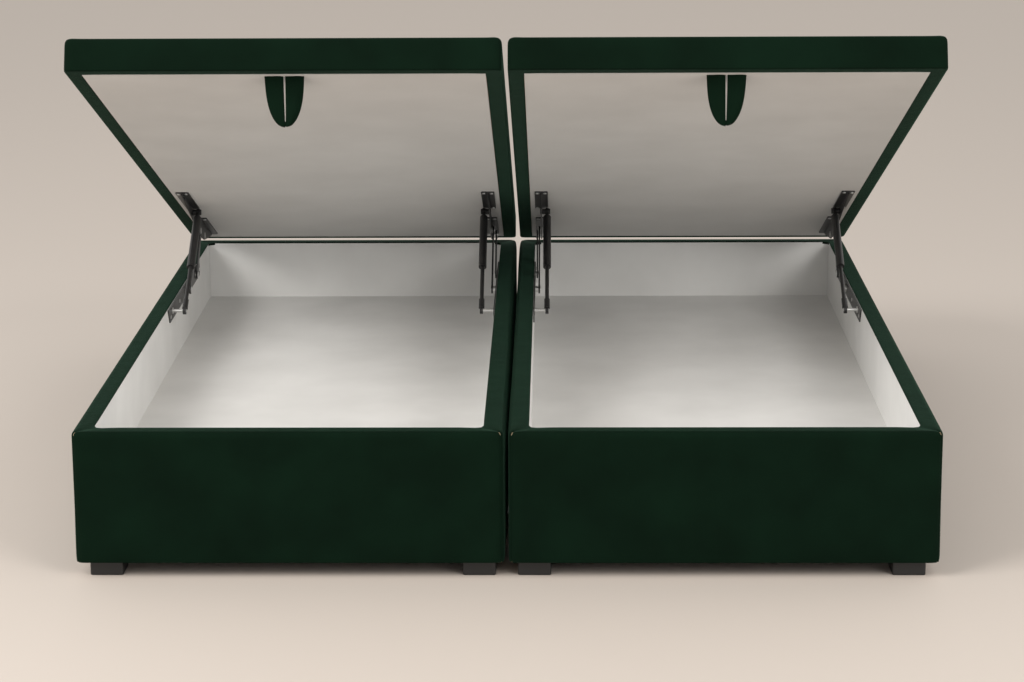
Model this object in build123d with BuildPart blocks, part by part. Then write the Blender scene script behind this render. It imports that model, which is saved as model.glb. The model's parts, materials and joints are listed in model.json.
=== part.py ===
import os
from math import atan2, cos, degrees, hypot, radians, sin, sqrt

from build123d import *

# Two single units stand side by side, each the mirror image of the other.
# Everything below is modelled for the left one, centred on X = 0 with its front at -Y,
# and placed at the end. Sizes are in millimetres, and the floor is Z = 0.

# Base
unit_width = 900
unit_gap = 8
bed_length = 2000
rim_height = 320
foot_height = 35
cover = 4
board = 36
lining = 4
base_corner_radius = 16
base_rim_radius = 10
base_hem_radius = 3
seam_width = 0.4
wood_gap = 0.2
floor_height = 165
floor_thickness = 12
bearer = 30
cross_bearer_count = 3
block = 50
cloth = 0.8
cloth_inset = 14

# Feet
foot_width = 70
foot_inset_outer = 27
foot_inset_inner = 19
foot_inset_y = 26
foot_radius = 5
foot_screw_radius = 2.5
foot_screw_head_radius = 4.5
foot_screw_head = 3
foot_screw_spacing = 32
foot_screw_recess = 12
foot_screw_grip = 40
screw_clearance = 0.1

# Lid
lid_thickness = 72
lid_cover_thickness = 3
lid_corner_radius = 14
lid_edge_radius = 12
lid_hem_radius = 4
under_rim = 35
rail_width = 38
rail_height = 50
panel_thickness = 3
panel_gap = 0.6
ledger_width = 46
ledger_height = 34
crossbar_width = 45
crossbar_count = 4
slat_count = 14
slat_width = 70
slat_thickness = 6
slat_inset = 4

# Pull strap, a loop of doubled velvet
strap_width = 82
strap_length = 107
strap_thickness = 5
strap_slit = 4
strap_slit_length = 72
strap_bottom_width = 50
strap_side = 45
strap_clearance = 1.5

# How the lid stands when it is open: its rear edge above the base, and its tilt
lid_tilt = 21.36
lid_rear_inset = 43.7
lid_rear_lift = 9

# Lift mechanism: pivots on the base, from its rear face and below its rim
rear_arm_pivot = (364.2, 22.95)
front_arm_pivot = (544.3, 24.0)
strut_pivot = (806.1, 19.1)
# Pivots on the lid, from its rear edge and below its underside
rear_arm_lid_pivot = (241.9, 32.4)
front_arm_lid_pivot = (321.8, 34.0)
strut_lid_pivot = (482.0, 13.5)
# How far the strut's upper bolt travels in its slot: towards the rear, and down
slot_travel = (7.0, 3.8)

# Lift mechanism: thicknesses, and gaps between the layers that stand on the side wall
plate = 3
arm = 4
running_gap = 0.4
pin_head = 1.2
plate_screw_head = 1.8
strut_gap = 3.8

# Lift mechanism: arms and pins
pin_radius = 4.5
pin_fit = 0.08
pin_shoulder_radius = 8
arm_half_width = 11
open_pin_travel = 2.6
open_end_radius = 13
open_head_radius = 10.5

# Lift mechanism: base plates
base_plate_height = 37
base_plate_drop = 5
base_plate_front = 62
base_plate_rear = 90
base_plate_slant = 25
base_plate_end_radius = 16
plate_screw_radius = 2
plate_screw_head_radius = 4.5
plate_screw_grip = 22
plate_screw_inset = 14

# Lift mechanism: top plates, with places from the lid's rear edge and the side wall
web_radius = 12
web_corner_radius = 2
pad_radius = 5
pad_outer = 3
pad_inner = 36
front_pad = (470, 690)
rear_pad = (90, 330)
pad_screw_inset = 12
pad_screw_edge = 7
pad_screw_grip = 20

# Gas struts
cylinder_radius = 10
cylinder_bore_radius = 7.5
cylinder_start = 22
cylinder_length = 185
cylinder_cap = 10
gland = 8
rod_radius = 5
rod_gap = 0.4
piston_gap = 0.4
piston_length = 10
rod_inside = 44
socket_radius = 7
socket_start = 7.5
socket_length = 30
eye_thickness = 8
eye_radius = 9.5
ball_radius = 6
ball_gap = 0.3
stud_radius = 4
bolt_radius = 4
bolt_fit = 0.1
bolt_head_radius = 7.5
bolt_head = 4
slot_gap = 1.2

# Joining plates under the two inner side boards
join_plate_width = 44
join_plate = 3
join_overlap = 34
join_y = 620
join_screw_radius = 2.5
join_screw_head_radius = 4.5
join_screw_head = 2.5
join_screw_grip = 26
join_screw_spacing = 24

# Places in the base
half_width = unit_width / 2
half_length = bed_length / 2
unit_x = half_width + unit_gap / 2
board_out = half_width - cover
board_in = board_out - board
board_end = half_length - cover
board_end_in = board_end - board
wall_x = board_in - lining
wall_y = board_end_in - lining
rim_width = half_width - wall_x
board_top = rim_height - cover
board_height = board_top - foot_height
floor_bottom = floor_height - floor_thickness
bearer_bottom = floor_bottom - bearer
block_x = board_in - block / 2
block_y = board_end_in - block / 2
cloth_bottom = foot_height - cloth
foot_y = half_length - foot_inset_y - foot_width / 2
foot_places = []
outer_foot_x = foot_inset_outer + foot_width / 2 - half_width
inner_foot_x = half_width - foot_inset_inner - foot_width / 2
for foot_x in (outer_foot_x, inner_foot_x):
    foot_places += [(foot_x, -foot_y), (foot_x, foot_y)]
foot_screw_places = []
for x, y in foot_places:
    foot_screw_places += [(x, y - foot_screw_spacing / 2), (x, y + foot_screw_spacing / 2)]
join_screw_x = board_in + board / 2
join_screw_places = []
for y in (-join_y, join_y):
    join_screw_places += [(join_screw_x, y - join_screw_spacing / 2)]
    join_screw_places += [(join_screw_x, y + join_screw_spacing / 2)]

# Places in the lid, level with its underside and from its rear edge
tilt = radians(lid_tilt)
lid_rear_y = half_length - lid_rear_inset
lid_rear_z = rim_height + lid_rear_lift
lid_up = (0, sin(tilt), cos(tilt))
rail_out = half_width - lid_cover_thickness
rail_in = rail_out - rail_width
rail_end = half_length - lid_cover_thickness
rail_end_in = rail_end - rail_width
rail_top = lid_cover_thickness + rail_height
ledger_in = rail_in - ledger_width
pad_bottom = rail_top + slat_thickness
pad_top = lid_thickness - lid_cover_thickness
panel_bottom = lid_cover_thickness - panel_thickness
window_x = half_width - under_rim
window_y = half_length - under_rim
strap_setback = rim_width + strap_clearance

# Layers of the mechanism, counted from the side wall towards the middle of the unit
rear_arm_layer = plate + plate_screw_head + running_gap
front_arm_layer = rear_arm_layer + arm + pin_head + 2 * running_gap
web_layer = front_arm_layer + arm + pin_head + 2 * running_gap
strut_layer = web_layer + plate + strut_gap + cylinder_radius


def lid_level(height, inset=half_length):
    """The plane at a height above the lid's underside, its origin that far from the rear edge."""
    y = lid_rear_y - inset * cos(tilt) + height * sin(tilt)
    z = lid_rear_z + inset * sin(tilt) + height * cos(tilt)
    return Plane(origin=(0, y, z), x_dir=(1, 0, 0), z_dir=lid_up)


def on_base(pivot):
    """Y and Z of a pivot given from the base's rear face and below its rim."""
    return (half_length - pivot[0], rim_height - pivot[1])


def on_lid(inset, drop):
    """Y and Z of a point given from the lid's rear edge and below its underside."""
    origin = lid_level(-drop, inset).origin
    return (origin.Y, origin.Z)


pivot_a = on_base(rear_arm_pivot)
pivot_b = on_base(front_arm_pivot)
pivot_c = on_lid(*rear_arm_lid_pivot)
pivot_d = on_lid(*front_arm_lid_pivot)
pivot_e = on_base(strut_pivot)
pivot_f = on_lid(*strut_lid_pivot)
slot_end = on_lid(strut_lid_pivot[0] - slot_travel[0], strut_lid_pivot[1] + slot_travel[1])
strut_length = hypot(pivot_f[0] - pivot_e[0], pivot_f[1] - pivot_e[1])
strut_angle = atan2(pivot_f[1] - pivot_e[1], pivot_f[0] - pivot_e[0])
cylinder_end = strut_length - cylinder_start
cylinder_mouth = cylinder_end - cylinder_length
rod_end = cylinder_mouth + rod_inside
strut_plane = Plane(
    origin=(wall_x - strut_layer, *pivot_e),
    x_dir=(1, 0, 0),
    z_dir=(0, cos(strut_angle), sin(strut_angle)),
)
# Profiles on this plane are turned about the lower pivot: distance from the wall, then radius
ball_plane = Plane(origin=(wall_x, *pivot_e), x_dir=(-1, 0, 0), z_dir=(0, 1, 0))
ball_axis = Axis(ball_plane.origin, ball_plane.x_dir)

# Screws of the base plates, as Y and Z, and of the top plates, as X and distance from the rear edge
plate_top = rim_height - base_plate_drop
plate_bottom = plate_top - base_plate_height
plate_front = pivot_e[0] - base_plate_front
plate_rear = pivot_a[0] + base_plate_rear
plate_middle = (plate_top + plate_bottom) / 2
plate_screw_places = [
    (plate_front + base_plate_slant + plate_screw_inset / 2, plate_bottom + plate_screw_inset),
    ((pivot_e[0] + pivot_b[0]) / 2, plate_middle),
    ((pivot_a[0] + pivot_b[0]) / 2, plate_middle),
    (plate_rear - plate_screw_inset - plate_screw_head_radius, plate_middle),
]
pad_screw_places = []
for pad_start, pad_stop in (front_pad, rear_pad):
    inner_x = wall_x - pad_inner + pad_screw_edge
    outer_x = wall_x - pad_outer - pad_screw_edge
    front_y = half_length - (pad_stop - pad_screw_inset)
    rear_y = half_length - (pad_start + pad_screw_inset)
    pad_screw_places += [(inner_x, front_y), (outer_x, front_y), (outer_x, rear_y)]
pad_screw_pairs = pad_screw_places + [(-x, y) for x, y in pad_screw_places]


def slab(width, length, bottom, top, places=((0, 0),), mode=Mode.ADD):
    """Upright boxes on the base, one at each X and Y place."""
    with BuildSketch(Plane.XY.offset(bottom)) as profile:
        with Locations(*places):
            Rectangle(width, length)
    extrude(profile.sketch, amount=top - bottom, mode=mode)


def lid_slab(width, length, bottom, top, places=((0, 0),), mode=Mode.ADD):
    """Boxes in the lid, one at each place, between two heights above its underside."""
    with BuildSketch(lid_level(bottom)) as profile:
        with Locations(*places):
            Rectangle(width, length)
    extrude(profile.sketch, amount=top - bottom, mode=mode)


def pins(places, radius, bottom, top, mode=Mode.ADD):
    """Upright round pins or holes in the base."""
    with BuildSketch(Plane.XY.offset(bottom)) as profile:
        with Locations(*places):
            Circle(radius)
    extrude(profile.sketch, amount=top - bottom, mode=mode)


def lid_pins(places, radius, bottom, top, mode=Mode.ADD):
    """Round pins or holes square to the lid."""
    with BuildSketch(lid_level(bottom)) as profile:
        with Locations(*places):
            Circle(radius)
    extrude(profile.sketch, amount=top - bottom, mode=mode)


def discs(places, radius, near, far, mode=Mode.ADD):
    """Round pins or holes along X, between two distances from the side wall."""
    with BuildSketch(Plane.YZ.offset(wall_x - far)) as profile:
        with Locations(*places):
            Circle(radius)
    extrude(profile.sketch, amount=far - near, mode=mode)


def bar(first, second, radius, near, far):
    """A flat bar with round ends, between two distances from the side wall."""
    with BuildSketch(Plane.YZ.offset(wall_x - far)) as profile:
        with Locations(first, second):
            Circle(radius)
        make_hull()
    extrude(profile.sketch, amount=far - near)


def tube(start, stop, radius, mode=Mode.ADD):
    """A round length on the strut's axis, between two distances from its lower pivot."""
    with BuildSketch(strut_plane.offset(start)) as profile:
        Circle(radius)
    extrude(profile.sketch, amount=stop - start, mode=mode)


pieces = {}

# The space inside the base's cover, and the four boards cut from it
with BuildPart() as base_core:
    with BuildSketch(Plane.XY.offset(foot_height)):
        RectangleRounded(2 * board_out, 2 * board_end, base_corner_radius - cover)
    extrude(amount=board_height)
    fillet(base_core.faces().sort_by(Axis.Z)[-1].edges(), base_rim_radius - cover)

with BuildPart() as side_boards:
    add(base_core.part)
    inner_place = ((board_in - half_width) / 2, 0)
    slab(board_in + half_width, bed_length, foot_height, rim_height, [inner_place], Mode.SUBTRACT)
    screw_hole = plate_screw_radius + screw_clearance
    discs(plate_screw_places, screw_hole, -lining - plate_screw_grip, 0, Mode.SUBTRACT)
    mirror(about=Plane.YZ)
    pins(
        join_screw_places,
        join_screw_radius + screw_clearance,
        foot_height,
        foot_height + join_screw_grip,
        Mode.SUBTRACT,
    )
pieces["side_boards"] = side_boards

with BuildPart() as end_boards:
    add(base_core.part)
    slab(unit_width, 2 * board_end_in, foot_height, rim_height, mode=Mode.SUBTRACT)
    slab(2 * board_in, bed_length, foot_height, rim_height, mode=Mode.INTERSECT)
pieces["end_boards"] = end_boards

with BuildPart() as corner_blocks:
    corners = [(x, y) for x in (-block_x, block_x) for y in (-block_y, block_y)]
    slab(block, block, foot_height, floor_bottom, corners)
    pins(
        foot_screw_places,
        foot_screw_radius + screw_clearance,
        foot_height,
        foot_height + foot_screw_grip,
        Mode.SUBTRACT,
    )
pieces["corner_blocks"] = corner_blocks

# Bearers along the boards, and cross bearers between them
with BuildPart() as floor_bearers:
    side_places = [(x, 0) for x in (bearer / 2 - board_in, board_in - bearer / 2)]
    slab(bearer, 2 * (board_end_in - block - wood_gap), bearer_bottom, floor_bottom, side_places)
    cross_pitch = 2 * board_end_in / (cross_bearer_count + 1)
    cross_places = [(0, cross_pitch * (n + 1) - board_end_in) for n in range(cross_bearer_count)]
    slab(2 * (board_in - bearer - wood_gap), bearer, bearer_bottom, floor_bottom, cross_places)
pieces["floor_bearers"] = floor_bearers

with BuildPart() as floor_panel:
    slab(2 * board_in, 2 * board_end_in, floor_bottom, floor_height)
pieces["floor_panel"] = floor_panel

with BuildPart() as storage_lining:
    side_places = [(x, 0) for x in (lining / 2 - board_in, board_in - lining / 2)]
    slab(lining, 2 * board_end_in, floor_height, board_top, side_places)
    end_places = [(0, y) for y in (lining / 2 - board_end_in, board_end_in - lining / 2)]
    slab(2 * (wall_x - wood_gap), lining, floor_height, board_top, end_places)
    discs(plate_screw_places, plate_screw_radius + screw_clearance, -lining, 0, Mode.SUBTRACT)
    mirrored_places = [(-y, z) for y, z in plate_screw_places]
    with BuildSketch(Plane.YZ.offset(-wall_x).rotated((0, 0, 180))):
        with Locations(*mirrored_places):
            Circle(plate_screw_radius + screw_clearance)
    extrude(amount=lining, mode=Mode.SUBTRACT)
pieces["storage_lining"] = storage_lining

# Velvet over the boards and across the rim, sewn with a mitre at each corner
with BuildPart() as base_cover:
    with BuildSketch(Plane.XY.offset(foot_height)):
        RectangleRounded(unit_width, bed_length, base_corner_radius)
    extrude(amount=rim_height - foot_height)
    fillet(base_cover.faces().sort_by(Axis.Z)[-1].edges(), base_rim_radius)
    add(base_core.part, mode=Mode.SUBTRACT)
    fillet(base_cover.faces().sort_by(Axis.Z)[0].outer_wire().edges(), base_hem_radius)
    slab(2 * wall_x, 2 * wall_y, board_top, rim_height, mode=Mode.SUBTRACT)
    for side in (-1, 1):
        for end in (-1, 1):
            with BuildSketch(Plane.XY.offset(foot_height)):
                with Locations((side * (half_width - rim_width / 2), end * (half_length - rim_width / 2))):
                    Rectangle(3 * rim_width, seam_width, rotation=45 * side * end)
            extrude(amount=rim_height - foot_height, mode=Mode.SUBTRACT)
pieces["base_cover"] = base_cover

with BuildPart() as dust_cloth:
    slab(unit_width - 2 * cloth_inset, bed_length - 2 * cloth_inset, cloth_bottom, foot_height)
    pins(foot_screw_places, foot_screw_radius + screw_clearance, cloth_bottom, foot_height, Mode.SUBTRACT)
    pins(join_screw_places, join_screw_radius + screw_clearance, cloth_bottom, foot_height, Mode.SUBTRACT)
pieces["dust_cloth"] = dust_cloth

with BuildPart() as feet:
    slab(foot_width, foot_width, 0, cloth_bottom, foot_places)
    fillet(feet.edges().filter_by(Axis.Z), foot_radius)
    fillet(feet.faces().filter_by(Plane.XY).group_by(Axis.Z)[0].edges(), foot_radius / 2)
    pins(foot_screw_places, foot_screw_radius + screw_clearance, 0, cloth_bottom, Mode.SUBTRACT)
    pins(foot_screw_places, foot_screw_head_radius + screw_clearance, 0, foot_screw_recess, Mode.SUBTRACT)
pieces["feet"] = feet

with BuildPart() as foot_screws:
    pins(foot_screw_places, foot_screw_radius, foot_screw_recess, foot_height + foot_screw_grip)
    pins(foot_screw_places, foot_screw_head_radius, foot_screw_recess - foot_screw_head, foot_screw_recess)
pieces["foot_screws"] = foot_screws

# The space inside the lid's cover, and the rails and pad cut from it
with BuildPart() as lid_core:
    with BuildSketch(lid_level(lid_cover_thickness)):
        RectangleRounded(2 * rail_out, 2 * rail_end, lid_corner_radius - lid_cover_thickness)
    extrude(amount=pad_top - lid_cover_thickness)
    fillet(
        lid_core.faces().sort_by(Axis((0, 0, 0), lid_up))[-1].edges(),
        lid_edge_radius - lid_cover_thickness,
    )

with BuildPart() as lid_rails:
    add(lid_core.part)
    lid_slab(unit_width, bed_length, lid_cover_thickness, rail_top, mode=Mode.INTERSECT)
    lid_slab(2 * rail_in, 2 * rail_end_in, lid_cover_thickness, rail_top, mode=Mode.SUBTRACT)
    joints = [(x, y) for x in (-rail_in, rail_in) for y in (-rail_end, rail_end)]
    lid_slab(wood_gap, 2 * rail_width, lid_cover_thickness, rail_top, joints, Mode.SUBTRACT)
pieces["lid_rails"] = lid_rails

# Ledgers along the side rails, and cross bars between them
with BuildPart() as lid_bars:
    ledger_top = lid_cover_thickness + ledger_height
    ledger_places = [(x, 0) for x in (ledger_width / 2 - rail_in, rail_in - ledger_width / 2)]
    lid_slab(ledger_width, 2 * rail_end_in, lid_cover_thickness, ledger_top, ledger_places)
    bar_pitch = 2 * rail_end_in / (crossbar_count + 1)
    bar_places = [(0, bar_pitch * (n + 1) - rail_end_in) for n in range(crossbar_count)]
    lid_slab(2 * (ledger_in - wood_gap), crossbar_width, lid_cover_thickness, ledger_top, bar_places)
    lid_pins(
        pad_screw_pairs,
        plate_screw_radius + screw_clearance,
        lid_cover_thickness,
        panel_bottom + pad_screw_grip,
        Mode.SUBTRACT,
    )
pieces["lid_bars"] = lid_bars

# Slats from rail to rail, under the pad
with BuildPart() as lid_slats:
    slat_pitch = 2 * rail_end / slat_count
    slat_places = [(0, slat_pitch * (n + 0.5) - rail_end) for n in range(slat_count)]
    slat_length = 2 * (rail_out - slat_inset)
    lid_slab(slat_length, slat_width, rail_top, rail_top + slat_thickness, slat_places)
pieces["lid_slats"] = lid_slats

with BuildPart() as lid_pad:
    add(lid_core.part)
    lid_slab(unit_width, bed_length, pad_bottom, pad_top, mode=Mode.INTERSECT)
pieces["lid_pad"] = lid_pad

# Velvet round the lid, turned under its edge
with BuildPart() as lid_cover:
    with BuildSketch(lid_level(0)):
        RectangleRounded(unit_width, bed_length, lid_corner_radius)
    extrude(amount=lid_thickness)
    fillet(lid_cover.faces().sort_by(Axis((0, 0, 0), lid_up))[-1].edges(), lid_edge_radius)
    fillet(lid_cover.faces().sort_by(Axis((0, 0, 0), lid_up))[0].edges(), lid_hem_radius)
    add(lid_core.part, mode=Mode.SUBTRACT)
    lid_slab(2 * window_x, 2 * window_y, 0, lid_cover_thickness, mode=Mode.SUBTRACT)
pieces["lid_cover"] = lid_cover

with BuildPart() as lid_panel:
    lid_slab(2 * (window_x - panel_gap), 2 * (window_y - panel_gap), panel_bottom, lid_cover_thickness)
    lid_pins(
        pad_screw_pairs,
        plate_screw_radius + screw_clearance,
        panel_bottom,
        lid_cover_thickness,
        Mode.SUBTRACT,
    )
pieces["lid_panel"] = lid_panel

# The strap hangs straight down from the front of the underside
strap_origin = lid_level(panel_bottom, bed_length - strap_setback).origin
strap_plane = Plane(origin=strap_origin, x_dir=(1, 0, 0), z_dir=(0, -1, 0))
with BuildPart() as lid_strap:
    with BuildSketch(strap_plane):
        with BuildLine():
            outer = strap_width / 2
            lower = strap_bottom_width / 2
            turn = strap_length - lower
            side_line = Polyline((outer, strap_thickness), (outer, -strap_side), (lower, -turn))
            ThreePointArc(side_line @ 1, (0, -strap_length), (-lower, -turn))
            Polyline((-lower, -turn), (-outer, -strap_side), (-outer, strap_thickness), side_line @ 0)
        make_face()
        with BuildLine():
            half_slit = strap_slit / 2
            Polyline(
                (half_slit, strap_thickness),
                (half_slit / 2, -strap_slit_length),
                (-half_slit / 2, -strap_slit_length),
                (-half_slit, strap_thickness),
                close=True,
            )
        make_face(mode=Mode.SUBTRACT)
    extrude(amount=-strap_thickness)
    split(bisect_by=lid_level(panel_bottom), keep=Keep.BOTTOM)
pieces["lid_strap"] = lid_strap

# Base plates, screwed to the side boards
with BuildPart() as base_plates:
    with BuildSketch(Plane.YZ.offset(wall_x - plate)):
        with BuildLine():
            Polyline(
                (plate_front, plate_top),
                (plate_front + base_plate_slant, plate_bottom),
                (plate_rear, plate_bottom),
                (plate_rear, plate_top),
                close=True,
            )
        make_face()
        fillet(vertices().group_by(Axis.X)[-1], base_plate_end_radius)
        with Locations(*plate_screw_places):
            Circle(plate_screw_radius + screw_clearance, mode=Mode.SUBTRACT)
    extrude(amount=plate)
    mirror(about=Plane.YZ)
pieces["base_plates"] = base_plates

with BuildPart() as base_plate_screws:
    discs(plate_screw_places, plate_screw_radius, -lining - plate_screw_grip, plate)
    discs(plate_screw_places, plate_screw_head_radius, plate, plate + plate_screw_head)
    mirror(about=Plane.YZ)
pieces["base_plate_screws"] = base_plate_screws

# Shouldered pins for both arms, and the ball stud for the strut
with BuildPart() as base_pivots:
    for pivot, layer in ((pivot_a, rear_arm_layer), (pivot_b, front_arm_layer)):
        discs([pivot], pin_shoulder_radius, plate, layer - running_gap)
        discs([pivot], pin_radius, plate, layer + arm + running_gap)
        discs([pivot], pin_shoulder_radius, layer + arm + running_gap, layer + arm + running_gap + pin_head)
    discs([pivot_e], pin_shoulder_radius, plate, 2 * plate)
    with BuildSketch(ball_plane):
        neck = strut_layer - sqrt(ball_radius**2 - stud_radius**2)
        with BuildLine():
            stud_line = Polyline((2 * plate, 0), (2 * plate, stud_radius), (neck, stud_radius))
            ThreePointArc(stud_line @ 1, (strut_layer, ball_radius), (strut_layer + ball_radius, 0))
            Line((strut_layer + ball_radius, 0), stud_line @ 0)
        make_face()
    revolve(axis=ball_axis)
    mirror(about=Plane.YZ)
pieces["base_pivots"] = base_pivots

# The rear arm's upper hole is wide, so that its pin can wander a little on the way up
with BuildPart() as rear_arms:
    bar(pivot_a, pivot_c, arm_half_width, rear_arm_layer, rear_arm_layer + arm)
    discs([pivot_c], open_end_radius, rear_arm_layer, rear_arm_layer + arm)
    discs([pivot_a], pin_radius + pin_fit, rear_arm_layer, rear_arm_layer + arm, Mode.SUBTRACT)
    discs([pivot_c], pin_radius + open_pin_travel, rear_arm_layer, rear_arm_layer + arm, Mode.SUBTRACT)
    mirror(about=Plane.YZ)
pieces["rear_arms"] = rear_arms

with BuildPart() as front_arms:
    bar(pivot_b, pivot_d, arm_half_width, front_arm_layer, front_arm_layer + arm)
    discs([pivot_b, pivot_d], pin_radius + pin_fit, front_arm_layer, front_arm_layer + arm, Mode.SUBTRACT)
    mirror(about=Plane.YZ)
pieces["front_arms"] = front_arms

# Top plates: two pads under the lid, with an upright web that carries the pivots
with BuildPart() as top_plates:
    pad_height = panel_bottom - plate
    for pad_start, pad_stop in (front_pad, rear_pad):
        with BuildSketch(lid_level(pad_height)):
            with Locations((wall_x - (pad_outer + pad_inner) / 2, half_length - (pad_start + pad_stop) / 2)):
                RectangleRounded(pad_inner - pad_outer, pad_stop - pad_start, pad_radius)
        extrude(amount=plate)
    with BuildSketch(Plane.YZ.offset(wall_x - web_layer - plate)):
        corner_drop = web_corner_radius - pad_height
        with Locations(
            on_lid(rear_pad[0] + pad_radius + web_corner_radius, corner_drop),
            on_lid(front_pad[1] - pad_radius - web_corner_radius, corner_drop),
        ):
            Circle(web_corner_radius)
        with Locations(pivot_c, pivot_d, slot_end):
            Circle(web_radius)
        make_hull()
    extrude(amount=plate)
    with BuildSketch(Plane.YZ.offset(wall_x - web_layer - plate)):
        with Locations(pivot_f, slot_end):
            Circle(bolt_radius + slot_gap)
        make_hull()
    extrude(amount=plate, mode=Mode.SUBTRACT)
    discs([pivot_c, pivot_d], pin_radius, web_layer, web_layer + plate, Mode.SUBTRACT)
    lid_pins(pad_screw_places, plate_screw_radius + screw_clearance, pad_height, panel_bottom, Mode.SUBTRACT)
    mirror(about=Plane.YZ)
pieces["top_plates"] = top_plates

with BuildPart() as top_plate_screws:
    lid_pins(pad_screw_places, plate_screw_radius, pad_height, panel_bottom + pad_screw_grip)
    lid_pins(pad_screw_places, plate_screw_head_radius, pad_height - plate_screw_head, pad_height)
    mirror(about=Plane.YZ)
pieces["top_plate_screws"] = top_plate_screws

# Pins in the web, through the rear arm's wide hole and through the front arm
with BuildPart() as lid_pivots:
    for pivot, layer, head_radius in (
        (pivot_c, rear_arm_layer, open_head_radius),
        (pivot_d, front_arm_layer, pin_shoulder_radius),
    ):
        discs([pivot], pin_radius, layer - running_gap, web_layer + plate)
        discs([pivot], head_radius, layer - running_gap - pin_head, layer - running_gap)
        discs([pivot], pin_shoulder_radius, layer + arm + running_gap, web_layer)
        discs([pivot], pin_shoulder_radius, web_layer + plate, web_layer + plate + pin_head)
    mirror(about=Plane.YZ)
pieces["lid_pivots"] = lid_pivots

# Gas struts: rod with its ball socket, piston, cylinder with its eye, and upper bolt
with BuildPart() as strut_rods:
    with BuildSketch(ball_plane):
        socket = ball_radius + ball_gap
        mouth = sqrt(socket**2 - (eye_thickness / 2) ** 2)
        near = strut_layer - eye_thickness / 2
        far = strut_layer + eye_thickness / 2
        with BuildLine():
            ThreePointArc((near, mouth), (strut_layer, socket), (far, mouth))
            Polyline((far, mouth), (far, eye_radius), (near, eye_radius), (near, mouth))
        make_face()
    revolve(axis=ball_axis)
    tube(socket_start, socket_start + socket_length, socket_radius)
    tube(socket_start + socket_length, rod_end - piston_length, rod_radius)
    mirror(about=Plane.YZ)
pieces["strut_rods"] = strut_rods

with BuildPart() as strut_pistons:
    tube(rod_end - piston_length, rod_end, cylinder_bore_radius - piston_gap)
    mirror(about=Plane.YZ)
pieces["strut_pistons"] = strut_pistons

with BuildPart() as strut_cylinders:
    tube(cylinder_mouth, cylinder_end, cylinder_radius)
    tube(cylinder_mouth + gland, cylinder_end - cylinder_cap, cylinder_bore_radius, Mode.SUBTRACT)
    tube(cylinder_mouth, cylinder_mouth + gland, rod_radius + rod_gap, Mode.SUBTRACT)
    eye_near = strut_layer - eye_thickness / 2
    eye_far = strut_layer + eye_thickness / 2
    tang_end = (
        pivot_f[0] - cylinder_start * cos(strut_angle),
        pivot_f[1] - cylinder_start * sin(strut_angle),
    )
    bar(pivot_f, tang_end, socket_radius, eye_near, eye_far)
    discs([pivot_f], eye_radius, eye_near, eye_far)
    discs([pivot_f], bolt_radius + bolt_fit, eye_near, eye_far, Mode.SUBTRACT)
    mirror(about=Plane.YZ)
pieces["strut_cylinders"] = strut_cylinders

with BuildPart() as strut_bolts:
    discs([pivot_f], bolt_radius, web_layer - running_gap, eye_far)
    discs([pivot_f], bolt_head_radius, web_layer - running_gap - pin_head, web_layer - running_gap)
    discs([pivot_f], bolt_head_radius, web_layer + plate + running_gap, eye_near)
    discs([pivot_f], bolt_head_radius, eye_far, eye_far + bolt_head)
    mirror(about=Plane.YZ)
pieces["strut_bolts"] = strut_bolts

# Plates that join the two units underneath
with BuildPart() as joining_plates:
    join_plate_length = unit_gap + 2 * (cover + join_overlap)
    for y in (-join_y, join_y):
        slab(join_plate_length, join_plate_width, cloth_bottom - join_plate, cloth_bottom, [(0, y)])
    joined_places = [(x - unit_x, y) for x, y in join_screw_places]
    joined_places += [(-x, y) for x, y in joined_places]
    pins(
        joined_places,
        join_screw_radius + screw_clearance,
        cloth_bottom - join_plate,
        cloth_bottom,
        Mode.SUBTRACT,
    )

with BuildPart() as joining_screws:
    join_bottom = cloth_bottom - join_plate
    pins(joined_places, join_screw_radius, join_bottom, foot_height + join_screw_grip)
    pins(joined_places, join_screw_head_radius, join_bottom - join_screw_head, join_bottom)

# Both units in their places, one file for each piece
finished = {"joining_plates": joining_plates, "joining_screws": joining_screws}
for name, piece in pieces.items():
    with BuildPart() as left:
        with Locations((-unit_x, 0, 0)):
            add(piece.part)
    with BuildPart() as right:
        mirror(left.part, about=Plane.YZ)
    finished["left_" + name] = left
    finished["right_" + name] = right

os.makedirs("parts", exist_ok=True)
for name, piece in finished.items():
    piece.part.label = name
    export_step(piece.part, f"parts/{name}.step")

print("strut", round(strut_length, 2), "mm at", round(degrees(strut_angle), 2), "degrees")
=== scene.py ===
import json
import math

import bmesh
import bpy
from mathutils import Matrix, Vector


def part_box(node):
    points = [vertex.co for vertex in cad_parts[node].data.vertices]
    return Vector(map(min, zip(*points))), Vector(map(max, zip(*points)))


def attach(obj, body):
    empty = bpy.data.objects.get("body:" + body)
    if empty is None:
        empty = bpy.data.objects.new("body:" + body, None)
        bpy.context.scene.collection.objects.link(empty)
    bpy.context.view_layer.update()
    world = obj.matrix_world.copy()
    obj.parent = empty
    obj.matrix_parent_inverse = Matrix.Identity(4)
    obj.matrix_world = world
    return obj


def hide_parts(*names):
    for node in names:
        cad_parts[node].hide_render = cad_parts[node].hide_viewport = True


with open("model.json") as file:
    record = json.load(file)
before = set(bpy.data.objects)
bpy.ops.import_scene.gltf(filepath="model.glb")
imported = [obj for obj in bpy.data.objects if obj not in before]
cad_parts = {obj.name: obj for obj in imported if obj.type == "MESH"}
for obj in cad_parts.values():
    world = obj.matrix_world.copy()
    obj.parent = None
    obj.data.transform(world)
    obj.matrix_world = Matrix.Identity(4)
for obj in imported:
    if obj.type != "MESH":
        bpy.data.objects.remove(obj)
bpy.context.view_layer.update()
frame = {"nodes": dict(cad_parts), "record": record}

mounts = {mount["name"]: mount for mount in frame["record"]["mounts"]}
units = ("left", "right")

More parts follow.
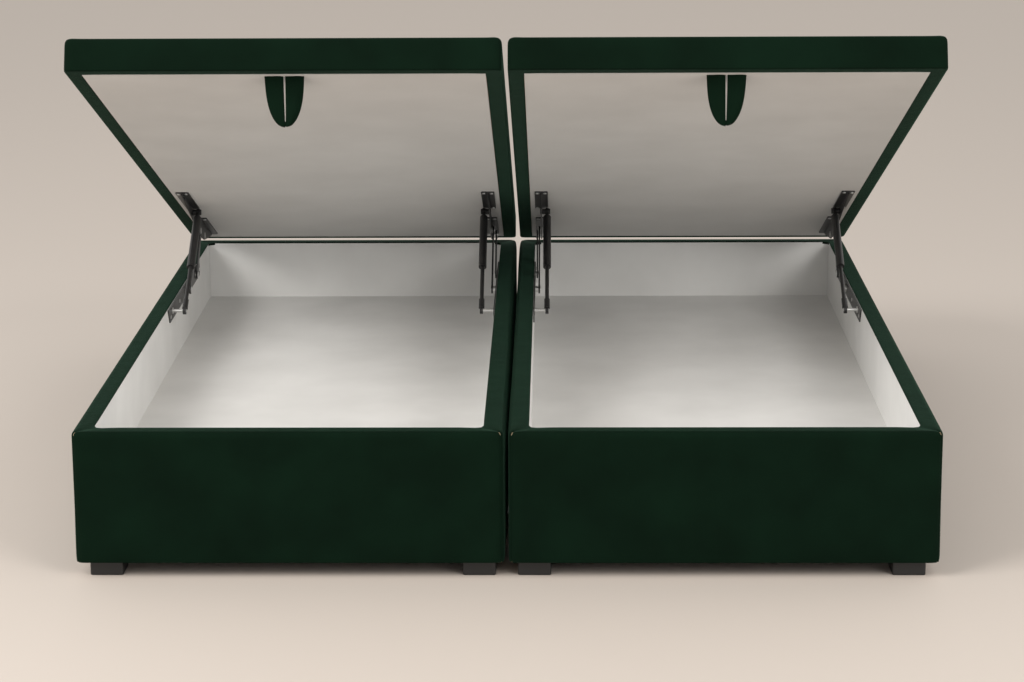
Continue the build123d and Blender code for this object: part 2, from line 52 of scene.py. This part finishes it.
levelFace = 0.5              # a face is level when the z of its normal is beyond this, up or down
loopJoin = 1e-6              # a cut this close to a point goes through it
mitreJoin = 1e-5
nearCore = 1e-6              # points this near the flat part of a box are not rounded
roundProfile = 0.5


def linkPiece(name, mesh):
    data = bpy.data.meshes.new(name)
    mesh.to_mesh(data)
    mesh.free()
    data.shade_smooth()
    piece = bpy.data.objects.new(name, data)
    bpy.context.scene.collection.objects.link(piece)
    return piece


def faceOutward(mesh):
    bmesh.ops.recalc_face_normals(mesh, faces=mesh.faces)
    side = max(mesh.faces, key=lambda face: face.calc_center_median().x)
    if side.normal.x < 0:
        bmesh.ops.reverse_faces(mesh, faces=mesh.faces)


def cutLoops(mesh, axis, places):
    direction = Vector((0, 0, 0))
    direction[axis] = 1
    for place in places:
        everything = mesh.verts[:] + mesh.edges[:] + mesh.faces[:]
        bmesh.ops.bisect_plane(
            mesh, geom=everything, dist=loopJoin, plane_co=direction * place, plane_no=direction
        )


# Loops at each margin from the two sides, and evenly spaced cells between the last margins
def spacedPlaces(half, margins, cell):
    inner = half - margins[-1]
    steps = max(2, round(2 * inner / cell))
    middle = [-inner + 2 * inner * n / steps for n in range(steps + 1)]
    sides = [half - margin for margin in margins[:-1]]
    return sorted(middle + sides + [-place for place in sides])


def loopedBox(half, margins, cell, levels):
    mesh = bmesh.new()
    bmesh.ops.create_cube(mesh, size=2.0)
    bmesh.ops.scale(mesh, vec=half, verts=mesh.verts)
    cutLoops(mesh, 0, spacedPlaces(half.x, margins, cell))
    cutLoops(mesh, 1, spacedPlaces(half.y, margins, cell))
    cutLoops(mesh, 2, levels)
    return mesh


def withinRim(face, inner):
    middle = face.calc_center_median()
    return abs(middle.x) < inner[0] and abs(middle.y) < inner[1]


# Turns the velvet over an open edge: a strip up or down from it, and a small round along it
def turnEdge(mesh, edges, rise, radius, segments):
    made = bmesh.ops.extrude_edge_only(mesh, edges=edges)
    turned = [item for item in made["geom"] if isinstance(item, bmesh.types.BMVert)]
    bmesh.ops.translate(mesh, vec=(0, 0, rise), verts=turned)
    bmesh.ops.bevel(
        mesh, geom=edges, offset=radius, segments=segments, affect="EDGES", profile=roundProfile, material=-1
    )


# Rounds the upright corners in plan, then the top and bottom edges in section
def roundBox(mesh, half, corner, topRadius, bottomRadius):
    reach = (half.x - corner, half.y - corner)
    for vert in mesh.verts:
        point = vert.co
        core = Vector((
            max(-reach[0], min(reach[0], point.x)),
            max(-reach[1], min(reach[1], point.y)),
        ))
        away = (point.xy - core) / corner
        if away.length < nearCore:
            continue
        away *= max(abs(away.x), abs(away.y)) / away.length
        depth = corner * (1 - away.length)
        outward = away.normalized()
        place = core + away * corner
        radius = topRadius if point.z > 0 else bottomRadius
        level = half.z - abs(point.z)
        if depth < radius and level < radius:
            across = 1 - depth / radius
            up = 1 - level / radius
            grow = max(across, up) / math.hypot(across, up)
            place += outward * (depth - radius * (1 - across * grow))
            level = radius * (1 - up * grow)
        vert.co = Vector((place.x, place.y, math.copysign(half.z - level, point.z)))


cloth = {
    "frames": 20,
    "pressure": 4.0,
    "quality": 5,
    "stretch": 25.0,
    "bend": 2.0,
    "mass": 0.3,
    "wall": 0.002,
    "smoothing": 1,
}


# A short cloth run under light pressure. It also pulls parts of the cover inward, which is left out
def swellCloth(piece, held, limit):
    group = piece.vertex_groups.new(name="held")
    group.add(held, 1.0, "REPLACE")
    sheet = piece.modifiers.new("cloth", "CLOTH")
    sheet.settings.quality = cloth["quality"]
    sheet.settings.mass = cloth["mass"]
    sheet.settings.tension_stiffness = cloth["stretch"]
    sheet.settings.compression_stiffness = cloth["stretch"]
    sheet.settings.bending_stiffness = cloth["bend"]
    sheet.settings.use_pressure = True
    sheet.settings.uniform_pressure_force = cloth["pressure"]
    sheet.settings.vertex_group_mass = "held"
    sheet.settings.effector_weights.gravity = 0.0
    sheet.collision_settings.use_collision = False
    sheet.point_cache.frame_start = 1
    sheet.point_cache.frame_end = cloth["frames"]
    for number in range(1, cloth["frames"] + 1):
        bpy.context.scene.frame_set(number)
    moved = piece.evaluated_get(bpy.context.evaluated_depsgraph_get())
    places = [vert.co.copy() for vert in moved.data.vertices]
    piece.modifiers.remove(sheet)
    piece.vertex_groups.remove(group)
    starts = [(vert.co.copy(), vert.normal.copy()) for vert in piece.data.vertices]
    pushes = [
        min(limit, max(0.0, (place - start).dot(normal)))
        for place, (start, normal) in zip(places, starts)
    ]
    for vert, (start, normal), push in zip(piece.data.vertices, starts, pushes):
        vert.co = start + normal * push
    bpy.context.scene.frame_set(1)
    print(piece.name, "swells by up to", round(1000 * max(pushes), 2), "mm")


def giveWall(piece, wall, side, levels):
    shell = piece.modifiers.new("wall", "SOLIDIFY")
    shell.thickness = wall
    shell.offset = side
    smooth = piece.modifiers.new("smooth", "SUBSURF")
    smooth.levels = levels
    smooth.render_levels = levels


baseCover = {
    "rim": 0.044,            # width of the rim across the boards
    "corner": 0.016,         # upright corners
    "topRound": 0.010,
    "hemRound": 0.001,
    "lip": 0.007,            # how far the velvet goes down inside
    "lipRound": 0.0035,
    "lipSegments": 3,
    "cell": 0.034,
    "margins": (0.0025, 0.006, 0.010, 0.016, 0.026),
    "topLoops": (0.0025, 0.006, 0.010, 0.018),
    "hemLoops": (0.0005, 0.003, 0.012),
    "wallCells": 9,
    "seamDepth": 0.0022,
    "seamReach": 2e-4,       # points this near a corner's diagonal make its mitre seam
    "seamStart": 0.001,      # how far inside the rim the seam begins
    "heldHem": 0.003,
    "slack": 0.0016,         # room left for the wadding to swell
    "swell": 0.0017,
}


def cutMitres(mesh, half, inner):
    for signX in (-1, 1):
        for signY in (-1, 1):
            area = []
            for face in mesh.faces:
                middle = face.calc_center_median()
                inCorner = middle.x * signX > inner[0] and middle.y * signY > inner[1]
                if face.normal.z > levelFace and inCorner:
                    area.append(face)
            edges = {edge for face in area for edge in face.edges}
            verts = {vert for face in area for vert in face.verts}
            corner = Vector((signX * half.x, signY * half.y, half.z))
            bmesh.ops.bisect_plane(
                mesh, geom=list(verts) + list(edges) + area, dist=mitreJoin,
                plane_co=corner, plane_no=(signX, -signY, 0),
            )


def onSeam(vert, half, inner):
    fromSide = half.x - abs(vert.co.x)
    fromEnd = half.y - abs(vert.co.y)
    onRim = abs(vert.co.x) > inner[0] - baseCover["seamStart"]
    return onRim and abs(fromSide - fromEnd) < baseCover["seamReach"]


def baseLevels(half):
    top = baseCover["topLoops"][-1]
    hem = baseCover["hemLoops"][-1]
    cells = baseCover["wallCells"]
    tall = 2 * half.z - (top + hem)
    tops = [half.z - step for step in baseCover["topLoops"]]
    hems = [-half.z + step for step in baseCover["hemLoops"]]
    walls = [-half.z + hem + tall * n / cells for n in range(1, cells)]
    return tops + hems + walls


def makeBaseCover(unit):
    low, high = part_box(unit + "_base_cover")
    slack = baseCover["slack"]
    centre = (low + high) / 2 - Vector((0, 0, slack / 2))
    half = (high - low) / 2 - Vector((slack, slack, slack / 2))
    rim = baseCover["rim"] - slack
    inner = (half.x - rim, half.y - rim)
    mesh = loopedBox(half, baseCover["margins"] + (rim,), baseCover["cell"], baseLevels(half))
    spare = [
        face for face in mesh.faces
        if face.normal.z < -levelFace or (face.normal.z > levelFace and withinRim(face, inner))
    ]
    bmesh.ops.delete(mesh, geom=spare, context="FACES")
    cutMitres(mesh, half, inner)
    lipEdges = [
        edge for edge in mesh.edges
        if edge.is_boundary and edge.verts[0].co.z > 0 and edge.verts[1].co.z > 0
    ]
    turnEdge(mesh, lipEdges, -baseCover["lip"], baseCover["lipRound"], baseCover["lipSegments"])
    seam = [vert for vert in mesh.verts if onSeam(vert, half, inner)]
    roundBox(mesh, half, baseCover["corner"], baseCover["topRound"], baseCover["hemRound"])
    mesh.normal_update()
    for vert in seam:
        vert.co -= vert.normal * baseCover["seamDepth"]
    faceOutward(mesh)
    mesh.verts.index_update()
    heldTop = -half.z + baseCover["heldHem"]
    held = {vert.index for vert in seam}
    held |= {vert.index for vert in mesh.verts if vert.is_boundary or vert.co.z < heldTop}
    bmesh.ops.translate(mesh, vec=centre, verts=mesh.verts)
    piece = linkPiece(unit + "_velvet_base", mesh)
    swellCloth(piece, sorted(held), baseCover["swell"])
    giveWall(piece, cloth["wall"], -1, cloth["smoothing"])
    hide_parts(unit + "_base_cover")
    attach(piece, "base")
    return piece


lidCover = {
    "thickness": 0.072,
    "size": (0.900, 2.000),
    "corner": 0.014,
    "topRound": 0.012,
    "hemRound": 0.004,
    "under": 0.035,          # width of the velvet wrapped under the lid
    "tuck": 0.003,
    "tuckRound": 0.001,
    "tuckSegments": 2,
    "cell": 0.040,
    "margins": (0.003, 0.007, 0.014, 0.022),
    "topLoops": (0.003, 0.007, 0.012, 0.020),
    "hemLoops": (0.002, 0.005, 0.012),
    "heldHem": 0.001,
    "slack": 0.0016,
    "swell": 0.0018,
}


def lidMatrix(unit):
    mount = mounts[unit + "_mattress"]
    up = Vector(mount["axis"])
    across = Vector((1, 0, 0))
    back = up.cross(across)
    turn = Matrix((across, back, up)).transposed().to_4x4()
    origin = Vector(mount["pos_m"]) - up * lidCover["thickness"] / 2
    return Matrix.Translation(origin) @ turn


def lidLevels(half):
    tops = [half.z - step for step in lidCover["topLoops"]]
    hems = [-half.z + step for step in lidCover["hemLoops"]]
    return tops + hems + [0.0]


# Made level around the origin, then tilted into its place on the open lid
def makeLidCover(unit):
    slack = lidCover["slack"]
    width, length = lidCover["size"]
    half = Vector((width / 2 - slack, length / 2 - slack, lidCover["thickness"] / 2))
    half.z -= slack / 2
    under = lidCover["under"] - slack
    inner = (half.x - under, half.y - under)
    mesh = loopedBox(half, lidCover["margins"] + (under,), lidCover["cell"], lidLevels(half))
    spare = [face for face in mesh.faces if face.normal.z < -levelFace and withinRim(face, inner)]
    bmesh.ops.delete(mesh, geom=spare, context="FACES")
    hemEdges = [edge for edge in mesh.edges if edge.is_boundary]
    turnEdge(mesh, hemEdges, lidCover["tuck"], lidCover["tuckRound"], lidCover["tuckSegments"])
    roundBox(mesh, half, lidCover["corner"], lidCover["topRound"], lidCover["hemRound"])
    faceOutward(mesh)
    mesh.verts.index_update()
    heldTop = -half.z + lidCover["heldHem"]
    held = [vert.index for vert in mesh.verts if vert.is_boundary or vert.co.z < heldTop]
    piece = linkPiece(unit + "_velvet_lid", mesh)
    swellCloth(piece, held, lidCover["swell"])
    piece.data.transform(lidMatrix(unit))
    piece.data.update()
    giveWall(piece, cloth["wall"], -1, cloth["smoothing"])
    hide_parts(unit + "_lid_cover", unit + "_lid_pad")
    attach(piece, unit + "_lid")
    return piece


strap = {
    "columns": 21,
    "rows": 30,
    "slit": 0.004,           # gap between the two legs at the top
    "slitEnd": -0.78,        # where the slit ends, from 1 at the top to -1 at the tip
    "slitTaper": 0.5,
    "taper": 0.12,
    "roundness": 3.2,
    "bulge": 0.004,
    "crease": 0.0009,
    "creaseAcross": 9.0,
    "creaseDown": 2.5,
    "creaseFade": 0.4,
    "weld": 0.0002,
    "thickness": 0.005,
    "smoothing": 2,
}


def makeStrap(unit):
    low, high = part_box(unit + "_lid_strap")
    middle = (low + high) / 2
    halfWidth = (high.x - low.x) / 2
    tall = high.z - low.z
    mesh = bmesh.new()
    bmesh.ops.create_grid(mesh, x_segments=strap["columns"], y_segments=strap["rows"], size=1.0)
    halfColumn = 1 / strap["columns"]
    slit = []
    for face in mesh.faces:
        place = face.calc_center_median()
        if abs(place.x) < halfColumn and place.y > strap["slitEnd"]:
            slit.append(face)
    bmesh.ops.delete(mesh, geom=slit, context="FACES")
    for vert in mesh.verts:
        down = (1 - vert.co.y) / 2
        tip = max(0.0, 1 - down ** strap["roundness"]) ** 0.5
        reach = halfWidth * (1 - strap["taper"] * down) * tip
        across = max(0.0, (abs(vert.co.x) - halfColumn) / (1 - halfColumn))
        inner = strap["slit"] / 2 * (1 - down * strap["slitTaper"])
        wide = inner + max(0.0, reach - inner) * across
        side = 1 if vert.co.x > 0 else -1
        wave = math.sin(across * strap["creaseAcross"] + side + down * strap["creaseDown"])
        fold = math.sin(math.pi * across) * strap["bulge"]
        fold += strap["crease"] * wave * (1 - strap["creaseFade"] * down)
        vert.co = Vector((
            middle.x + side * wide,
            middle.y + strap["bulge"] + strap["crease"] - fold,
            high.z - tall * down,
        ))
    bmesh.ops.remove_doubles(mesh, verts=mesh.verts, dist=strap["weld"])
    bmesh.ops.recalc_face_normals(mesh, faces=mesh.faces)
    piece = linkPiece(unit + "_velvet_strap", mesh)
    giveWall(piece, strap["thickness"], 0, strap["smoothing"])
    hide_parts(unit + "_lid_strap")
    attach(piece, unit + "_lid")
    return piece


dustCloth = {
    "sag": 0.0015,
    "bays": 3,               # how many times it sags along the bed
    "columns": 24,
    "rows": 48,
}


def makeDustCloth(unit):
    low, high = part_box(unit + "_dust_cloth")
    middle = (low + high) / 2
    size = high - low
    mesh = bmesh.new()
    bmesh.ops.create_grid(mesh, x_segments=dustCloth["columns"], y_segments=dustCloth["rows"], size=0.5)
    bmesh.ops.scale(mesh, vec=(size.x, size.y, 1), verts=mesh.verts)
    for vert in mesh.verts:
        across = math.cos(math.pi * vert.co.x / size.x)
        along = abs(math.cos(dustCloth["bays"] * math.pi * vert.co.y / size.y))
        vert.co += middle + Vector((0, 0, -dustCloth["sag"] * across * along))
    piece = linkPiece(unit + "_dust_sheet", mesh)
    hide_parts(unit + "_dust_cloth")
    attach(piece, "base")
    return piece


def newMaterial(name, color, roughness):
    material = bpy.data.materials.new(name)
    material.use_nodes = True
    nodes = material.node_tree.nodes
    links = material.node_tree.links
    shader = nodes["Principled BSDF"]
    shader.inputs["Base Color"].default_value = (*color, 1)
    shader.inputs["Roughness"].default_value = roughness
    place = nodes.new("ShaderNodeTexCoord")
    return material, nodes, links, shader, place.outputs["Object"]


def addNoise(nodes, links, source, scale, detail):
    texture = nodes.new("ShaderNodeTexNoise")
    texture.inputs["Scale"].default_value = scale
    texture.inputs["Detail"].default_value = detail
    links.new(source, texture.inputs["Vector"])
    return texture.outputs["Fac"]


def addBump(nodes, links, shader, height, strength, distance, previous=None):
    bump = nodes.new("ShaderNodeBump")
    bump.inputs["Strength"].default_value = strength
    bump.inputs["Distance"].default_value = distance
    links.new(height, bump.inputs["Height"])
    if previous is not None:
        links.new(previous, bump.inputs["Normal"])
    links.new(bump.outputs["Normal"], shader.inputs["Normal"])
    return bump.outputs["Normal"]


shadeRange = (0.3, 0.7)      # noise values at which the dark and the light shade are full


def addShades(nodes, links, shader, factor, dark, light):
    ramp = nodes.new("ShaderNodeValToRGB")
    for element, position, color in zip(ramp.color_ramp.elements, shadeRange, (dark, light)):
        element.position = position
        element.color = (*color, 1)
    links.new(factor, ramp.inputs["Fac"])
    links.new(ramp.outputs["Color"], shader.inputs["Base Color"])


velvet = {
    "color": (0.002, 0.008, 0.0045),
    "dark": (0.0012, 0.0062, 0.0028),
    "light": (0.002, 0.0098, 0.0046),
    "roughness": 0.9,
    "specular": 0.06,
    "sheen": 0.17,
    "sheenRoughness": 0.28,
    "sheenTint": (0.25, 0.6, 0.4, 1),
    "cloudScale": 7.0,
    "cloudDetail": 4.0,
    "pileScale": 900.0,
    "pileDetail": 2.0,
    "pileStrength": 0.5,
    "pileDepth": 0.0006,
    "dentScale": 22.0,
    "dentDetail": 3.0,
    "dentStrength": 0.25,
    "dentDepth": 0.004,
}


def velvetFinish():
    finish = newMaterial("darkGreenVelvet", velvet["color"], velvet["roughness"])
    material, nodes, links, shader, place = finish
    cloud = addNoise(nodes, links, place, velvet["cloudScale"], velvet["cloudDetail"])
    addShades(nodes, links, shader, cloud, velvet["dark"], velvet["light"])
    pile = addNoise(nodes, links, place, velvet["pileScale"], velvet["pileDetail"])
    dents = addNoise(nodes, links, place, velvet["dentScale"], velvet["dentDetail"])
    dented = addBump(nodes, links, shader, dents, velvet["dentStrength"], velvet["dentDepth"])
    addBump(nodes, links, shader, pile, velvet["pileStrength"], velvet["pileDepth"], dented)
    shader.inputs["Specular IOR Level"].default_value = velvet["specular"]
    shader.inputs["Sheen Weight"].default_value = velvet["sheen"]
    shader.inputs["Sheen Roughness"].default_value = velvet["sheenRoughness"]
    shader.inputs["Sheen Tint"].default_value = velvet["sheenTint"]
    return material


weave = {"cloudScale": 5.0, "cloudDetail": 3.0, "strength": 0.35, "depth": 0.0006, "specular": 0.2}


def clothFinish(name, dark, light, thread, roughness):
    material, nodes, links, shader, place = newMaterial(name, light, roughness)
    cloud = addNoise(nodes, links, place, weave["cloudScale"], weave["cloudDetail"])
    addShades(nodes, links, shader, cloud, dark, light)
    threads = nodes.new("ShaderNodeTexVoronoi")
    threads.inputs["Scale"].default_value = thread
    links.new(place, threads.inputs["Vector"])
    addBump(nodes, links, shader, threads.outputs["Distance"], weave["strength"], weave["depth"])
    shader.inputs["Specular IOR Level"].default_value = weave["specular"]
    return material


wood = {
    "roughness": 0.7,
    "stretch": (1.0, 0.12, 1.0),
    "grainScale": 90.0,
    "grainDetail": 5.0,
    "strength": 0.2,
    "depth": 0.0005,
}


def woodFinish(name, dark, light):
    material, nodes, links, shader, place = newMaterial(name, light, wood["roughness"])
    stretch = nodes.new("ShaderNodeMapping")
    stretch.inputs["Scale"].default_value = wood["stretch"]
    links.new(place, stretch.inputs["Vector"])
    grain = addNoise(nodes, links, stretch.outputs["Vector"], wood["grainScale"], wood["grainDetail"])
    addShades(nodes, links, shader, grain, dark, light)
    addBump(nodes, links, shader, grain, wood["strength"], wood["depth"])
    return material


metal = {"grainDetail": 3.0, "spread": 0.08, "smoothest": 0.05, "strength": 0.15, "depth": 0.0002}


def metalFinish(name, color, metallic, roughness, scale):
    material, nodes, links, shader, place = newMaterial(name, color, roughness)
    shader.inputs["Metallic"].default_value = metallic
    grain = addNoise(nodes, links, place, scale, metal["grainDetail"])
    spread = nodes.new("ShaderNodeMapRange")
    spread.inputs["To Min"].default_value = max(metal["smoothest"], roughness - metal["spread"])
    spread.inputs["To Max"].default_value = roughness + metal["spread"]
    links.new(grain, spread.inputs["Value"])
    links.new(spread.outputs["Result"], shader.inputs["Roughness"])
    addBump(nodes, links, shader, grain, metal["strength"], metal["depth"])
    return material


finishes = {
    "velvet": velvetFinish(),
    "lining_white": clothFinish(
        "whiteLining", dark=(0.70, 0.695, 0.68), light=(0.78, 0.775, 0.76), thread=700.0, roughness=0.85
    ),
    "panel_grey": clothFinish(
        "greyUndercloth", dark=(0.56, 0.55, 0.535), light=(0.61, 0.60, 0.585), thread=600.0, roughness=0.9
    ),
    "board": woodFinish("particleBoard", dark=(0.45, 0.33, 0.2), light=(0.62, 0.48, 0.32)),
    "timber": woodFinish("softwood", dark=(0.6, 0.45, 0.28), light=(0.74, 0.6, 0.42)),
    "pad": clothFinish(
        "wadding", dark=(0.78, 0.75, 0.68), light=(0.85, 0.82, 0.74), thread=300.0, roughness=0.95
    ),
    "black_cloth": clothFinish(
        "blackDustCloth", dark=(0.012, 0.012, 0.012), light=(0.02, 0.02, 0.02), thread=500.0, roughness=0.9
    ),
    "black_foot": metalFinish(
        "blackFoot", color=(0.008, 0.008, 0.008), metallic=0.0, roughness=0.42, scale=400.0
    ),
    "black_metal": metalFinish(
        "blackPowderCoat", color=(0.012, 0.012, 0.012), metallic=0.0, roughness=0.38, scale=900.0
    ),
    "zinc": metalFinish("zincPlate", color=(0.75, 0.75, 0.74), metallic=1.0, roughness=0.3, scale=500.0),
}
print("finishes made")

for part in frame["record"]["subparts"]:
    cadObject = frame["nodes"][part["node"]]
    cadObject.data.materials.clear()
    cadObject.data.materials.append(finishes[part["material_slot"]])
print("finishes given to the CAD pieces")

for unit in units:
    makeBaseCover(unit).data.materials.append(finishes["velvet"])
    makeLidCover(unit).data.materials.append(finishes["velvet"])
    makeStrap(unit).data.materials.append(finishes["velvet"])
    makeDustCloth(unit).data.materials.append(finishes["black_cloth"])
print("velvet covers, straps and dust sheets made")


ground = {"reach": 40, "shift": (0, 2, 0), "color": (0.55, 0.49, 0.44), "roughness": 0.75}


def makeFloor():
    mesh = bmesh.new()
    bmesh.ops.create_grid(mesh, x_segments=2, y_segments=2, size=ground["reach"])
    bmesh.ops.translate(mesh, vec=ground["shift"], verts=mesh.verts)
    floor = linkPiece("floor", mesh)
    floor.data.materials.append(newMaterial("paleFloor", ground["color"], ground["roughness"])[0])


# View of the photograph: place in metres, turns in radians, focal length and centre in pixels
photoView = {
    "place": (0.10094, -6.29382, 1.80464),
    "yaw": -0.018815,
    "pitch": 0.230484,
    "roll": -0.005839,
    "focal": 2663.8,
    "centre": (505.8, 317.5),
    "width": 1024,
    "height": 682,
    "sensor": 36,            # millimetres
    "farthest": 100,
}


def makeCamera():
    yaw, pitch, roll = photoView["yaw"], photoView["pitch"], photoView["roll"]
    centreX, centreY = photoView["centre"]
    width, height = photoView["width"], photoView["height"]
    ahead = Vector((math.sin(yaw) * math.cos(pitch), math.cos(yaw) * math.cos(pitch), -math.sin(pitch)))
    level = Vector((math.cos(yaw), -math.sin(yaw), 0))
    above = level.cross(ahead)
    right = math.cos(roll) * level + math.sin(roll) * above
    up = -math.sin(roll) * level + math.cos(roll) * above
    data = bpy.data.cameras.new("photoCamera")
    data.sensor_width = photoView["sensor"]
    data.lens = photoView["focal"] * data.sensor_width / width
    data.shift_x = -(centreX - width / 2) / width
    data.shift_y = (centreY - height / 2) / width
    data.clip_end = photoView["farthest"]
    camera = bpy.data.objects.new("photoCamera", data)
    turn = Matrix((right, up, -ahead)).transposed().to_4x4()
    camera.matrix_world = Matrix.Translation(photoView["place"]) @ turn
    bpy.context.scene.collection.objects.link(camera)
    bpy.context.scene.camera = camera


sky = {"color": (1.0, 0.98, 0.95), "strength": 0.8}
windows = {
    "windowLeft": {"place": (-4.5, -4.0, 4.0), "size": (3.5, 2.5), "power": 330},
    "windowRight": {"place": (4.0, -5.0, 3.0), "size": (3.0, 2.5), "power": 200},
}
windowColor = (1.0, 0.98, 0.95)
windowTarget = (0, 0, 0.4)


def addWindow(name, window):
    data = bpy.data.lights.new(name, "AREA")
    data.shape = "RECTANGLE"
    data.size, data.size_y = window["size"]
    data.energy = window["power"]
    data.color = windowColor
    lamp = bpy.data.objects.new(name, data)
    lamp.location = window["place"]
    aim = Vector(windowTarget) - Vector(window["place"])
    lamp.rotation_euler = aim.to_track_quat("-Z", "Y").to_euler()
    bpy.context.scene.collection.objects.link(lamp)


def makeLights():
    world = bpy.data.worlds.new("studio")
    world.use_nodes = True
    background = world.node_tree.nodes["Background"]
    background.inputs["Color"].default_value = (*sky["color"], 1)
    background.inputs["Strength"].default_value = sky["strength"]
    bpy.context.scene.world = world
    for name, window in windows.items():
        addWindow(name, window)


makeFloor()
makeCamera()
makeLights()
bpy.context.scene.view_settings.view_transform = "Standard"
print("floor, camera and lights made")
